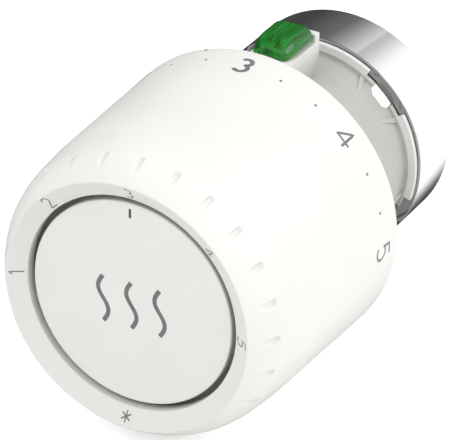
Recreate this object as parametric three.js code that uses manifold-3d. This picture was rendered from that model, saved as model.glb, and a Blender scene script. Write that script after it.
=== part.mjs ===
// Thermostatic radiator valve head: control knob, temperature sensor and union collar.
// Every length is in millimetres. The head lies along Y: the dial faces -Y and the collar that
// screws onto the radiator valve ends at Y = 0. Z is up, and the index lens stands on top.
// Shapes are drawn with their own Y running backwards from the plane of the knob's front rim.

import * as THREE from 'three';
import { mergeVertices } from 'three/addons/utils/BufferGeometryUtils.js';
import Module from 'manifold-3d';

const wasm = await Module();
wasm.setup();

// ---- Driving dimensions ----

const HEAD_LENGTH = 72.5;
const GAP = 0.3;

// Control knob
const KNOB_LENGTH = 40.9;
const KNOB_REAR_RADIUS = 26;
const KNOB_SHOULDER_RADIUS = 25.2;
const KNOB_SHOULDER_DEPTH = 13;
const KNOB_RIM_RADIUS = 21.4;
const KNOB_SHOULDER_PULL = [[24.9, 4.2], [24.6, 7]];
const KNOB_WALL = 1.7;
const KNOB_INNER_CORNER = [22.8, 6.4];
const DIAL_BACK_RADIUS = 20.8;
const DIAL_INNER_RADIUS = 18.46;
const DIAL_DEPTH = 1.76;
const DIAL_THICKNESS = 1.9;
const NOTCH_COUNT = 24;
const NOTCH_RADIUS = 0.62;
const NOTCH_CENTRE_RADIUS = 23.845;
const NOTCH_CENTRE_DEPTH = 3.25;
const NOTCH_LENGTH = 2.8;
const NOTCH_TILT = 17;
const KEY_COUNT = 3;
const KEY_WIDTH = 2.2;
const KEY_INNER_RADIUS = 21.6;
const KEY_OUTER_RADIUS = 23.3;
const KEY_START = 6.2;
const KEY_END = 11;
const STOP_RIB_ANGLE = -45;
const STOP_RIB_WIDTH = 2.4;
const STOP_RIB_INNER_RADIUS = 20.2;
const STOP_RIB_OUTER_RADIUS = 24.8;
const STOP_RIB_START = 34.6;
const STOP_RIB_END = 38.4;

// Dial disc
const DISC_RADIUS = 17.5;
const DISC_FRONT = 2.02;
const DISC_THICKNESS = 1.3;
const DISC_SKIRT_END = 5;
const DISC_SKIRT_WALL = 0.9;
const SPIGOT_WALL = 1.2;
const SPIGOT_END = 8.6;

// Guide cage, drive sleeve and the helical tracks that join them
const CAGE_INNER_RADIUS = 12.7;
const CAGE_OUTER_RADIUS = 14.1;
const CAGE_START = 5.1;
const CAGE_END = 58.2;
const CAGE_GROOVE_RADIUS = 13.4;
const CAGE_GROOVE_START = 5.5;
const CAGE_GROOVE_END = 6.6;
const VENT_COUNT = 4;
const VENT_WIDTH = 5;
const VENT_START = 43;
const VENT_END = 54;
const SNAP_RING_INNER_RADIUS = 13.6;
const SNAP_RING_OUTER_RADIUS = 16;
const SNAP_RING_FRONT = 5.75;
const SNAP_RING_REAR = 6.4;
const SLEEVE_INNER_RADIUS = 14.5;
const SLEEVE_OUTER_RADIUS = 16.6;
const SLEEVE_START = 6.9;
const SLEEVE_END = 38;
const SLEEVE_FLANGE = 1.5;
const SLEEVE_FLANGE_RADIUS = 22.3;
const BEARING_INNER_RADIUS = 14.45;
const BEARING_REAR = 39.7;
const TRACK_PITCH = 6;
const TRACK_WIDTH = 1.95;
const TRACK_BOTTOM_RADIUS = 15.9;
const TRACK_END_ROOM = 7;
const LUG_COUNT = 2;
const LUG_RADIUS = 0.75;
const LUG_TIP_RADIUS = 15.5;
const LUG_DEPTH = 25;
const FIRST_LUG_ANGLE = 90;
const TURN_TO_CLOSED = 180;
const TURN_TO_OPEN = 90;

// Mounting base
const BASE_START = 40;
const BASE_INNER_RADIUS = 15.8;
const BASE_OUTER_RADIUS = 17;
const BASE_END = 64.6;
const BASE_LIP_RADIUS = 14.4;
const BASE_LIP = 1.6;
const FLANGE_RADIUS = 19;
const FLANGE_FRONT = 60.85;
const FLANGE_REAR = 61.65;
const WEB_FRONT = 58.6;
const WEB_REAR = 60.2;
const WEB_HOLE_RADIUS = 5.8;
const WINDOW_ANGLES = [46, 121, -121, -46];
const WINDOW_WIDTH = 4.3;
const WINDOW_FRONT = 59.9;
const WINDOW_REAR = 63.1;
const WINDOW_CHAMFER = 0.85;
const WINDOW_CUT_START = 15.2;
const WINDOW_CUT_END = 20;
const FLANGE_CUT_ANGLE = 28;
const FLANGE_CUT_RADIUS = 17.7;

// Index lens and its bracket
const LENS_HALF_WIDTH = 3.7;
const LENS_HEIGHT = 2.6;
const LENS_CORNER = 1.8;
const LENS_NOSE = 2.4;
const LENS_BOTTOM = 22.95;
const LENS_FRONT = 45.4;
const LENS_REAR = 53.7;
const TAB_WIDTH = 3;
const TAB_BOTTOM = 21.3;
const TAB_FRONT = 46.9;
const TAB_REAR = 51.1;
const BRACKET_WIDTH = 7.9;
const BRACKET_FRONT = 43.2;
const BRACKET_REAR = 55.4;
const BRACKET_FOOT = 16.4;
const BRACKET_FOOT_REAR = 53.4;
const BRACKET_HEEL = 20.6;
const BRACKET_WALL_TOP = 24.1;

// Limiter ring and pins
const LIMITER_INNER_RADIUS = 17.3;
const LIMITER_OUTER_RADIUS = 23.9;
const LIMITER_FRONT = 38.9;
const LIMITER_REAR = 40.3;
const PIN_CIRCLE_RADIUS = 21.3;
const PIN_RADIUS = 1.1;
const PIN_HEAD_RADIUS = 1.8;
const PIN_HEAD_LENGTH = 1.7;
const PIN_FRONT = 35.4;
const STOP_ANGLE = 142;
const PIN_HOLE_STEP = 22.5;
const PIN_HOLES_PER_SIDE = 6;

// Sensor
const CAPSULE_RADIUS = 10.6;
const CAPSULE_WALL = 0.6;
const CAPSULE_FRONT = 8;
const CAPSULE_REAR = 31.3;
const CARRIER_FRONT = 21.5;
const CARRIER_FLOOR = 31.7;
const CARRIER_REAR = 33;
const CARRIER_OUTER_RADIUS = 12.35;
const CARRIER_INNER_RADIUS = 10.9;
const CARRIER_HOLE_RADIUS = 7;
const BELLOWS_OUTER_RADIUS = 9.3;
const BELLOWS_INNER_RADIUS = 7;
const BELLOWS_FOIL = 0.5;
const BELLOWS_FRONT = 12.4;
const BELLOWS_FIRST_FOLD = 13.6;
const BELLOWS_REAR = 30.6;
const BELLOWS_FOLDS = 5;

// Push rod, springs and thrust pin
const ROD_RADIUS = 2;
const ROD_HEAD_RADIUS = 5.8;
const ROD_COLLAR_RADIUS = 4.5;
const ROD_COLLAR_FRONT = 39.7;
const ROD_COLLAR = 1.2;
const ROD_END = 3.8;
const ROD_HEAD = 1.6;
const ROD_TAPER = 1.8;
const CUP_FRONT = 37.5;
const CUP_REAR = 50;
const CUP_OUTER_RADIUS = 6.2;
const CUP_INNER_RADIUS = 5;
const CUP_FLANGE_RADIUS = 9.2;
const CUP_WALL = 1.2;
const CUP_FLANGE = 1;
const RETAINER_CLIP = { inner: 2.4, outer: 4.7, front: 38.3, rear: 39.2 };
const OVERTRAVEL_COIL = { radius: 3.7, wire: 0.5, front: 41.3, rear: 48.4, turns: 4 };
const RETURN_COIL = { radius: 7.9, wire: 0.6, front: 39, rear: 57.2, turns: 5 };
const SEAT_INNER_RADIUS = 6.6;
const SEAT_OUTER_RADIUS = 9.6;
const SEAT_FRONT = 57.5;
const SEAT_REAR = 58.3;
const PIN_SHAFT_RADIUS = 2.4;
const PIN_TIP = 59;
const THRUST_HEAD_RADIUS = 4.2;
const THRUST_HEAD = 1.3;
const THRUST_TAPER = 0.7;
const GUIDE_FRONT = 57.6;
const GUIDE_BORE_RADIUS = 2.6;
const GUIDE_FLANGE_RADIUS = 6.3;

// Union collar and nut
const COLLAR_RADIUS = 19.42;
const COLLAR_FRONT = 62;
const COLLAR_WALL_RADIUS = 18;
const COLLAR_LIP_RADIUS = 17.3;
const COLLAR_LIP = 1.1;
const RETAINER_FRONT = 63.45;
const RETAINER_REAR = 64.15;
const RETAINER_INNER_RADIUS = 16.6;
const RETAINER_OUTER_RADIUS = 17.75;
const GROOVE_RADIUS = 16.4;
const GROOVE_PLAY = 0.15;
const RING_MOUTH = 5;
const NUT_FRONT = 65;
const NUT_REAR = 72.2;
const NUT_THREAD_RADIUS = 14.2;
const NUT_OUTER_RADIUS = 17.7;
const NUT_CHAMFER = 0.9;

const OUTER_SEGMENTS = 48;
const INNER_SEGMENTS = 32;
const SMALL_SEGMENTS = 20;

// ---- Materials ----

const plastic = (color, roughness) => new THREE.MeshStandardMaterial({ color, roughness, metalness: 0 });
const metal = (color, roughness) => new THREE.MeshStandardMaterial({ color, roughness, metalness: 1 });

const warmWhite = plastic(0xf7f6f2, 0.45);
const coverGrey = plastic(0xe4e5e7, 0.38);
const baseGrey = plastic(0xd4d5d2, 0.4);
const innerWhite = plastic(0xe9e8e2, 0.55);
const acetal = plastic(0xd9d6cb, 0.5);
const darkAcetal = plastic(0x4a4e52, 0.5);
const green = new THREE.MeshStandardMaterial({
  color: 0x128a1c,
  roughness: 0.12,
  metalness: 0,
  transparent: true,
  opacity: 0.85,
});
const chrome = metal(0xd5d8db, 0.08);
const brass = metal(0xc8a24f, 0.3);
const aluminium = metal(0xc4c7ca, 0.35);
const bronze = metal(0xb98a58, 0.35);
const springSteel = metal(0x9ba0a5, 0.3);

// ---- Solid modelling helpers ----

const radians = THREE.MathUtils.degToRad;

// A closed three.js mesh as a solid. Triangles that collapse on the axis are dropped.
function solid(geometry) {
  const shell = geometry.clone();
  shell.deleteAttribute('normal');
  shell.deleteAttribute('uv');
  const merged = mergeVertices(shell, 1e-4);
  const triangles = [];
  for (let i = 0; i < merged.index.count; i += 3) {
    const a = merged.index.getX(i);
    const b = merged.index.getX(i + 1);
    const c = merged.index.getX(i + 2);
    if (a !== b && b !== c && c !== a) {
      triangles.push(a, b, c);
    }
  }
  return new wasm.Manifold(new wasm.Mesh({
    numProp: 3,
    vertProperties: Float32Array.from(merged.attributes.position.array),
    triVerts: Uint32Array.from(triangles),
  }));
}

// The mesh of a solid.
function surface(shape) {
  const mesh = shape.getMesh();
  const geometry = new THREE.BufferGeometry();
  geometry.setAttribute('position', new THREE.BufferAttribute(mesh.vertProperties, 3));
  geometry.setIndex(new THREE.BufferAttribute(mesh.triVerts, 1));
  geometry.computeVertexNormals();
  return geometry;
}

// A body of revolution about Y from an outline of [radius, depth] points.
function turned(outline, segments = OUTER_SEGMENTS) {
  const points = outline.map(([radius, depth]) => new THREE.Vector2(radius, depth));
  if (THREE.ShapeUtils.area(points) < 0) {
    points.reverse();
  }
  points.push(points[0].clone());
  return solid(new THREE.LatheGeometry(points, segments));
}

// A plain ring about Y.
function ring(innerRadius, outerRadius, front, rear, segments = OUTER_SEGMENTS) {
  return turned([
    [innerRadius, front],
    [outerRadius, front],
    [outerRadius, rear],
    [innerRadius, rear],
  ], segments);
}

// A bar bent round Y. Its middle climbs from startDepth to endDepth, and angles run from +Z to +X.
function bentBar(innerRadius, outerRadius, startAngle, endAngle, startDepth, endDepth, width) {
  const steps = Math.ceil(Math.abs(endAngle - startAngle) / 8);
  const bar = new THREE.BoxGeometry(1, 1, 1, 1, 1, steps);
  const corner = bar.attributes.position;
  for (let i = 0; i < corner.count; i += 1) {
    const along = corner.getZ(i) + 0.5;
    const angle = radians(THREE.MathUtils.lerp(startAngle, endAngle, along));
    const radius = THREE.MathUtils.lerp(innerRadius, outerRadius, corner.getX(i) + 0.5);
    const depth = THREE.MathUtils.lerp(startDepth, endDepth, along) + corner.getY(i) * width;
    corner.setXYZ(i, radius * Math.sin(angle), depth, radius * Math.cos(angle));
  }
  const shape = solid(bar);
  return shape.volume() > 0 ? shape : solid(flipped(bar));
}

// The same mesh with every triangle turned over.
function flipped(geometry) {
  const turnedOver = geometry.clone();
  const index = turnedOver.index;
  for (let i = 0; i < index.count; i += 3) {
    const first = index.getX(i);
    index.setX(i, index.getX(i + 1));
    index.setX(i + 1, first);
  }
  return turnedOver;
}

// A box, given by its width across a radius, its inner and outer radius, and its depths.
function radialBox(width, innerRadius, outerRadius, front, rear, angle) {
  const box = new THREE.BoxGeometry(width, rear - front, outerRadius - innerRadius);
  box.translate(0, (front + rear) / 2, (innerRadius + outerRadius) / 2);
  box.rotateY(radians(angle));
  return solid(box);
}

// A flat outline in X and depth, pushed outwards along the radius at the given angle.
function radialPrism(outline, innerRadius, outerRadius, angle) {
  const shape = new THREE.Shape(outline.map(([x, depth]) => new THREE.Vector2(x, depth)));
  const prism = new THREE.ExtrudeGeometry(shape, { depth: outerRadius - innerRadius, bevelEnabled: false });
  prism.translate(0, 0, innerRadius);
  prism.rotateY(radians(angle));
  return solid(prism);
}

// A flat outline in depth and Z, given a thickness across X.
function sideBlock(outline, width) {
  const block = new THREE.ExtrudeGeometry(outline, { depth: width, bevelEnabled: false, curveSegments: 5 });
  block.translate(0, 0, -width / 2);
  block.applyMatrix4(new THREE.Matrix4().makeBasis(
    new THREE.Vector3(0, 1, 0),
    new THREE.Vector3(0, 0, 1),
    new THREE.Vector3(1, 0, 0),
  ));
  return solid(block);
}

// A straight peg along Y, standing at a radius and an angle.
function peg(radius, front, rear, circleRadius, angle, sides = 10) {
  const cylinder = new THREE.CylinderGeometry(radius, radius, rear - front, sides);
  cylinder.translate(0, (front + rear) / 2, circleRadius);
  cylinder.rotateY(radians(angle));
  return solid(cylinder);
}

// A coil spring about Y with its end turns drawn at the same pitch.
class CoilPath extends THREE.Curve {
  constructor(radius, front, rear, turns) {
    super();
    this.radius = radius;
    this.front = front;
    this.rear = rear;
    this.turns = turns;
  }

  getPoint(t, target = new THREE.Vector3()) {
    const angle = 2 * Math.PI * this.turns * t;
    const depth = THREE.MathUtils.lerp(this.front, this.rear, t);
    return target.set(this.radius * Math.sin(angle), depth, this.radius * Math.cos(angle));
  }
}

function coilSpring({ radius, wire, front, rear, turns }) {
  const section = new THREE.Shape();
  section.absarc(0, 0, wire, 0, 2 * Math.PI);
  const path = new CoilPath(radius, front + wire, rear - wire, turns);
  return solid(new THREE.ExtrudeGeometry(section, {
    curveSegments: 3,
    steps: turns * 9,
    extrudePath: path,
  }));
}

const cut = (body, cutters) => cutters.reduce((left, cutter) => left.subtract(cutter), body);
const join = (body, additions) => additions.reduce((whole, addition) => whole.add(addition), body);
const around = (count, make, firstAngle = 0) => Array.from(
  { length: count },
  (_, i) => make(firstAngle + (360 * i) / count),
);

// ---- Knob body ----

// White shell with the dished number ring, scooped finger notches and the rib that meets the pins.
function controlKnob() {
  const shoulder = new THREE.CubicBezierCurve(
    new THREE.Vector2(KNOB_RIM_RADIUS, 0),
    new THREE.Vector2(...KNOB_SHOULDER_PULL[0]),
    new THREE.Vector2(...KNOB_SHOULDER_PULL[1]),
    new THREE.Vector2(KNOB_SHOULDER_RADIUS, KNOB_SHOULDER_DEPTH),
  );
  const rearInner = KNOB_REAR_RADIUS - KNOB_WALL;
  const dialBack = DIAL_DEPTH + DIAL_THICKNESS;
  const shell = turned([
    ...shoulder.getPoints(6).map((point) => [point.x, point.y]),
    [KNOB_REAR_RADIUS, KNOB_LENGTH - 1.2],
    [KNOB_REAR_RADIUS - 0.3, KNOB_LENGTH - 0.35],
    [KNOB_REAR_RADIUS - 0.8, KNOB_LENGTH],
    [rearInner + 0.3, KNOB_LENGTH],
    [rearInner, KNOB_LENGTH - 0.6],
    [KNOB_SHOULDER_RADIUS - KNOB_WALL, KNOB_SHOULDER_DEPTH],
    KNOB_INNER_CORNER,
    [DIAL_BACK_RADIUS, dialBack + 0.4],
    [DIAL_INNER_RADIUS, dialBack],
    [DIAL_INNER_RADIUS, DIAL_DEPTH],
    [KNOB_RIM_RADIUS - 0.25, 0.1],
  ]);
  const notches = around(NOTCH_COUNT, (angle) => {
    const scoop = new THREE.CapsuleGeometry(NOTCH_RADIUS, NOTCH_LENGTH, 2, 8);
    scoop.rotateX(radians(NOTCH_TILT));
    scoop.translate(0, NOTCH_CENTRE_DEPTH, NOTCH_CENTRE_RADIUS);
    scoop.rotateY(radians(angle));
    return solid(scoop);
  });
  const keys = around(KEY_COUNT, (angle) => radialBox(
    KEY_WIDTH,
    KEY_INNER_RADIUS,
    KEY_OUTER_RADIUS,
    KEY_START,
    KEY_END,
    angle,
  ));
  const stopRib = radialBox(
    STOP_RIB_WIDTH,
    STOP_RIB_INNER_RADIUS,
    STOP_RIB_OUTER_RADIUS,
    STOP_RIB_START,
    STOP_RIB_END,
    STOP_RIB_ANGLE,
  );
  return join(cut(shell, notches), [...keys, stopRib]);
}

// Inner tube of the knob: its helical tracks drive the sensor carrier along the axis.
function knobDriveSleeve() {
  const flangeRear = SLEEVE_START + SLEEVE_FLANGE;
  const body = turned([
    [SLEEVE_INNER_RADIUS, SLEEVE_START],
    [SLEEVE_FLANGE_RADIUS, SLEEVE_START],
    [SLEEVE_FLANGE_RADIUS, flangeRear],
    [SLEEVE_OUTER_RADIUS, flangeRear],
    [SLEEVE_OUTER_RADIUS, SLEEVE_END],
    [SLEEVE_INNER_RADIUS, SLEEVE_END],
  ], INNER_SEGMENTS);
  const keySlots = around(KEY_COUNT, (angle) => radialBox(
    KEY_WIDTH + 2 * GAP,
    KEY_INNER_RADIUS - GAP,
    SLEEVE_FLANGE_RADIUS + 1,
    SLEEVE_START - 1,
    flangeRear + 1,
    angle,
  ));
  const rise = (angle) => LUG_DEPTH - (TRACK_PITCH * angle) / 360;
  const tracks = around(LUG_COUNT, (angle) => bentBar(
    SLEEVE_INNER_RADIUS - 0.6,
    TRACK_BOTTOM_RADIUS,
    angle - TURN_TO_CLOSED - TRACK_END_ROOM,
    angle + TURN_TO_OPEN + TRACK_END_ROOM,
    rise(-TURN_TO_CLOSED - TRACK_END_ROOM),
    rise(TURN_TO_OPEN + TRACK_END_ROOM),
    TRACK_WIDTH,
  ), FIRST_LUG_ANGLE);
  return cut(body, [...keySlots, ...tracks]);
}

// ---- Fixed frame ----

// Round cover in the middle of the dial, which stays still and carries the index mark.
function dialDisc() {
  const back = DISC_FRONT + DISC_THICKNESS;
  const spigot = CAGE_INNER_RADIUS - GAP;
  return turned([
    [0, DISC_FRONT],
    [DISC_RADIUS - 0.7, DISC_FRONT],
    [DISC_RADIUS - 0.2, DISC_FRONT + 0.2],
    [DISC_RADIUS, DISC_FRONT + 0.7],
    [DISC_RADIUS, DISC_SKIRT_END],
    [DISC_RADIUS - DISC_SKIRT_WALL, DISC_SKIRT_END],
    [DISC_RADIUS - DISC_SKIRT_WALL, back],
    [spigot, back],
    [spigot, SPIGOT_END],
    [spigot - SPIGOT_WALL, SPIGOT_END],
    [spigot - SPIGOT_WALL, back],
    [0, back],
  ]);
}

// Tube fixed to the base: the knob turns on it and the sensor carrier slides in its slots.
function guideCage() {
  const tube = turned([
    [CAGE_INNER_RADIUS, CAGE_START],
    [CAGE_OUTER_RADIUS, CAGE_START],
    [CAGE_OUTER_RADIUS, CAGE_GROOVE_START],
    [CAGE_GROOVE_RADIUS, CAGE_GROOVE_START],
    [CAGE_GROOVE_RADIUS, CAGE_GROOVE_END],
    [CAGE_OUTER_RADIUS, CAGE_GROOVE_END],
    [CAGE_OUTER_RADIUS, CAGE_END],
    [CAGE_INNER_RADIUS, CAGE_END],
  ], INNER_SEGMENTS);
  const travelForward = (TRACK_PITCH * TURN_TO_OPEN) / 360;
  const travelBack = (TRACK_PITCH * TURN_TO_CLOSED) / 360;
  const reach = LUG_RADIUS + 0.5;
  const slots = around(LUG_COUNT, (angle) => radialBox(
    2 * LUG_RADIUS + 0.6,
    CAGE_INNER_RADIUS - 1,
    CAGE_OUTER_RADIUS + 1,
    LUG_DEPTH - travelForward - reach,
    LUG_DEPTH + travelBack + reach,
    angle,
  ), FIRST_LUG_ANGLE);
  const vents = around(VENT_COUNT, (angle) => radialBox(
    VENT_WIDTH,
    CAGE_INNER_RADIUS - 1,
    CAGE_OUTER_RADIUS + 1,
    VENT_START,
    VENT_END,
    angle,
  ), FIRST_LUG_ANGLE / 2);
  return cut(tube, [...slots, ...vents]);
}

// A split ring that lies in an outside groove, open at the bottom.
function splitRing(innerRadius, outerRadius, front, rear) {
  const mouth = radialBox(RING_MOUTH, innerRadius - 2, outerRadius + 2, front - 1, rear + 1, 180);
  return ring(innerRadius, outerRadius, front, rear, INNER_SEGMENTS).subtract(mouth);
}

// Grey base: wall with air windows, rear flange, web for the pin and bracket for the index lens.
function mountingBase() {
  const body = turned([
    [BASE_LIP_RADIUS, BASE_START],
    [BASE_OUTER_RADIUS, BASE_START],
    [BASE_OUTER_RADIUS, FLANGE_FRONT],
    [FLANGE_RADIUS, FLANGE_FRONT],
    [FLANGE_RADIUS, FLANGE_REAR],
    [BASE_OUTER_RADIUS, FLANGE_REAR],
    [BASE_OUTER_RADIUS, RETAINER_FRONT - GROOVE_PLAY],
    [GROOVE_RADIUS, RETAINER_FRONT - GROOVE_PLAY],
    [GROOVE_RADIUS, RETAINER_REAR + GROOVE_PLAY],
    [BASE_OUTER_RADIUS, RETAINER_REAR + GROOVE_PLAY],
    [BASE_OUTER_RADIUS, BASE_END],
    [BASE_INNER_RADIUS, BASE_END],
    [BASE_INNER_RADIUS, WEB_REAR],
    [WEB_HOLE_RADIUS, WEB_REAR],
    [WEB_HOLE_RADIUS, WEB_FRONT],
    [BASE_INNER_RADIUS, WEB_FRONT],
    [BASE_INNER_RADIUS, BASE_START + BASE_LIP],
    [BASE_LIP_RADIUS, BASE_START + BASE_LIP],
  ]);
  const half = WINDOW_WIDTH / 2;
  const chamfer = WINDOW_CHAMFER;
  const windowOutline = [
    [-half + chamfer, WINDOW_FRONT],
    [half - chamfer, WINDOW_FRONT],
    [half, WINDOW_FRONT + chamfer],
    [half, WINDOW_REAR - chamfer],
    [half - chamfer, WINDOW_REAR],
    [-half + chamfer, WINDOW_REAR],
    [-half, WINDOW_REAR - chamfer],
    [-half, WINDOW_FRONT + chamfer],
  ];
  const windows = WINDOW_ANGLES.map((angle) => radialPrism(
    windowOutline,
    WINDOW_CUT_START,
    WINDOW_CUT_END,
    angle,
  ));
  const flangeCuts = WINDOW_ANGLES.map((angle) => bentBar(
    FLANGE_CUT_RADIUS,
    FLANGE_RADIUS + 1,
    angle - FLANGE_CUT_ANGLE / 2,
    angle + FLANGE_CUT_ANGLE / 2,
    (FLANGE_FRONT + FLANGE_REAR) / 2,
    (FLANGE_FRONT + FLANGE_REAR) / 2,
    2,
  ));
  return cut(body, [...windows, ...flangeCuts]).add(indexBracket());
}

// Bracket moulded on the base, with a pocket for the lens's tab and a low wall behind the lens.
function indexBracket() {
  const side = new THREE.Shape([
    new THREE.Vector2(BRACKET_FRONT, BRACKET_FOOT),
    new THREE.Vector2(BRACKET_FOOT_REAR, BRACKET_FOOT),
    new THREE.Vector2(BRACKET_REAR, BRACKET_HEEL),
    new THREE.Vector2(BRACKET_REAR, BRACKET_WALL_TOP),
    new THREE.Vector2(LENS_REAR + GAP, BRACKET_WALL_TOP),
    new THREE.Vector2(LENS_REAR + GAP, LENS_BOTTOM - GAP),
    new THREE.Vector2(BRACKET_FRONT, LENS_BOTTOM - GAP),
  ]);
  const tabPocket = radialBox(
    TAB_WIDTH + 2 * GAP,
    TAB_BOTTOM - GAP - 0.1,
    LENS_BOTTOM + 1,
    TAB_FRONT - GAP,
    TAB_REAR + GAP,
    0,
  );
  return sideBlock(side, BRACKET_WIDTH).subtract(tabPocket);
}

// Green lens: a low tunnel with rounded shoulders, a rounded nose and a tab that snaps into its bracket.
function indexLens() {
  const right = LENS_HALF_WIDTH - LENS_CORNER;
  const shoulder = LENS_HEIGHT - LENS_CORNER;
  const tunnel = new THREE.Shape();
  tunnel.moveTo(-LENS_HALF_WIDTH, 0);
  tunnel.lineTo(LENS_HALF_WIDTH, 0);
  tunnel.absarc(right, shoulder, LENS_CORNER, 0, Math.PI / 2);
  tunnel.absarc(-right, shoulder, LENS_CORNER, Math.PI / 2, Math.PI);
  const body = new THREE.ExtrudeGeometry(tunnel, {
    depth: LENS_REAR - LENS_FRONT,
    bevelEnabled: false,
    curveSegments: 5,
  });
  // The tunnel is drawn in X and Y: Y becomes Z and the thickness becomes depth, front to rear.
  body.rotateX(Math.PI / 2);
  body.translate(0, LENS_REAR, LENS_BOTTOM);
  const side = new THREE.Shape();
  side.moveTo(LENS_REAR + 1, LENS_BOTTOM - 1);
  side.lineTo(LENS_REAR + 1, LENS_BOTTOM + LENS_HEIGHT);
  side.absarc(LENS_FRONT + LENS_NOSE, LENS_BOTTOM + LENS_HEIGHT - LENS_NOSE, LENS_NOSE, Math.PI / 2, Math.PI);
  side.lineTo(LENS_FRONT, LENS_BOTTOM - 1);
  const tab = radialBox(TAB_WIDTH, TAB_BOTTOM, LENS_BOTTOM + 0.5, TAB_FRONT, TAB_REAR, 0);
  return solid(body).intersect(sideBlock(side, 2 * LENS_HALF_WIDTH + 1)).add(tab);
}

// Fixed ring behind the knob with the holes that the two limiter pins plug into.
function limiterRing() {
  const holes = [-1, 1].flatMap((side) => Array.from({ length: PIN_HOLES_PER_SIDE }, (_, i) => peg(
    PIN_RADIUS + 0.15,
    LIMITER_FRONT - 1,
    LIMITER_REAR + 1,
    PIN_CIRCLE_RADIUS,
    side * (STOP_ANGLE - PIN_HOLE_STEP * i),
  )));
  return cut(ring(LIMITER_INNER_RADIUS, LIMITER_OUTER_RADIUS, LIMITER_FRONT, LIMITER_REAR), holes);
}

// Pin that stops the knob's rib. Its head stands behind the ring, where fingers reach it.
function limiterPin(angle) {
  const headFront = LIMITER_REAR + GAP;
  const headRear = headFront + PIN_HEAD_LENGTH;
  const shaft = peg(PIN_RADIUS, PIN_FRONT, headFront + GAP, PIN_CIRCLE_RADIUS, angle);
  return shaft.add(peg(PIN_HEAD_RADIUS, headFront, headRear, PIN_CIRCLE_RADIUS, angle));
}

// ---- Sensor and force train ----

// Cup that holds the sensor. Its lugs pass through the cage's slots into the sleeve's tracks.
function sensorCarrier() {
  const cup = turned([
    [CARRIER_INNER_RADIUS, CARRIER_FRONT],
    [CARRIER_OUTER_RADIUS, CARRIER_FRONT],
    [CARRIER_OUTER_RADIUS, CARRIER_REAR],
    [CARRIER_HOLE_RADIUS, CARRIER_REAR],
    [CARRIER_HOLE_RADIUS, CARRIER_FLOOR],
    [CARRIER_INNER_RADIUS, CARRIER_FLOOR],
  ], INNER_SEGMENTS);
  const lugs = around(LUG_COUNT, (angle) => {
    const length = LUG_TIP_RADIUS - CARRIER_INNER_RADIUS - 0.3;
    const lug = new THREE.CylinderGeometry(LUG_RADIUS, LUG_RADIUS, length, 12);
    lug.rotateX(Math.PI / 2);
    lug.translate(0, LUG_DEPTH, LUG_TIP_RADIUS - length / 2);
    lug.rotateY(radians(angle));
    return solid(lug);
  }, FIRST_LUG_ANGLE);
  return join(cup, lugs);
}

// Deep-drawn can around the sensor fluid, closed at the front.
function sensorCapsule() {
  const inner = CAPSULE_RADIUS - CAPSULE_WALL;
  return turned([
    [0, CAPSULE_FRONT],
    [CAPSULE_RADIUS - 1.6, CAPSULE_FRONT + 0.3],
    [CAPSULE_RADIUS - 0.4, CAPSULE_FRONT + 0.9],
    [CAPSULE_RADIUS, CAPSULE_FRONT + 2],
    [CAPSULE_RADIUS, CAPSULE_REAR],
    [inner, CAPSULE_REAR],
    [inner, CAPSULE_FRONT + 2.2],
    [inner - 1, CAPSULE_FRONT + 1.2],
    [0, CAPSULE_FRONT + CAPSULE_WALL],
  ], INNER_SEGMENTS);
}

// Corrugated metal bellows, closed at the front, that the fluid squeezes against the push rod.
function sensorBellows() {
  const fold = (BELLOWS_REAR - 1.2 - BELLOWS_FIRST_FOLD) / BELLOWS_FOLDS;
  const outside = [];
  const inside = [];
  for (let i = 0; i < BELLOWS_FOLDS; i += 1) {
    const start = BELLOWS_FIRST_FOLD + fold * i;
    outside.push([BELLOWS_INNER_RADIUS + BELLOWS_FOIL, start], [BELLOWS_OUTER_RADIUS, start + fold / 2]);
    inside.push([BELLOWS_INNER_RADIUS, start], [BELLOWS_OUTER_RADIUS - BELLOWS_FOIL, start + fold / 2]);
  }
  return turned([
    [0, BELLOWS_FRONT],
    [BELLOWS_INNER_RADIUS + BELLOWS_FOIL, BELLOWS_FRONT],
    ...outside,
    [BELLOWS_INNER_RADIUS + BELLOWS_FOIL, BELLOWS_REAR - 1.2],
    [BELLOWS_INNER_RADIUS + BELLOWS_FOIL, BELLOWS_REAR - 0.6],
    [CAPSULE_RADIUS - CAPSULE_WALL - GAP, BELLOWS_REAR - 0.6],
    [CAPSULE_RADIUS - CAPSULE_WALL - GAP, BELLOWS_REAR],
    [BELLOWS_INNER_RADIUS, BELLOWS_REAR],
    [BELLOWS_INNER_RADIUS, BELLOWS_REAR - 1.2],
    ...inside.reverse(),
    [BELLOWS_INNER_RADIUS, BELLOWS_FRONT + 0.6],
    [0, BELLOWS_FRONT + 0.6],
  ], SMALL_SEGMENTS);
}

// Rod from the closed end of the bellows to the overtravel spring.
function pushRod() {
  const front = BELLOWS_FRONT + 0.6 + GAP;
  return turned([
    [0, front],
    [ROD_HEAD_RADIUS, front],
    [ROD_HEAD_RADIUS, front + ROD_HEAD],
    [ROD_RADIUS, front + ROD_HEAD + ROD_TAPER],
    [ROD_RADIUS, ROD_COLLAR_FRONT],
    [ROD_COLLAR_RADIUS, ROD_COLLAR_FRONT],
    [ROD_COLLAR_RADIUS, ROD_COLLAR_FRONT + ROD_COLLAR],
    [ROD_RADIUS, ROD_COLLAR_FRONT + ROD_COLLAR],
    [ROD_RADIUS, ROD_COLLAR_FRONT + ROD_END],
    [0, ROD_COLLAR_FRONT + ROD_END],
  ], SMALL_SEGMENTS);
}

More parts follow.
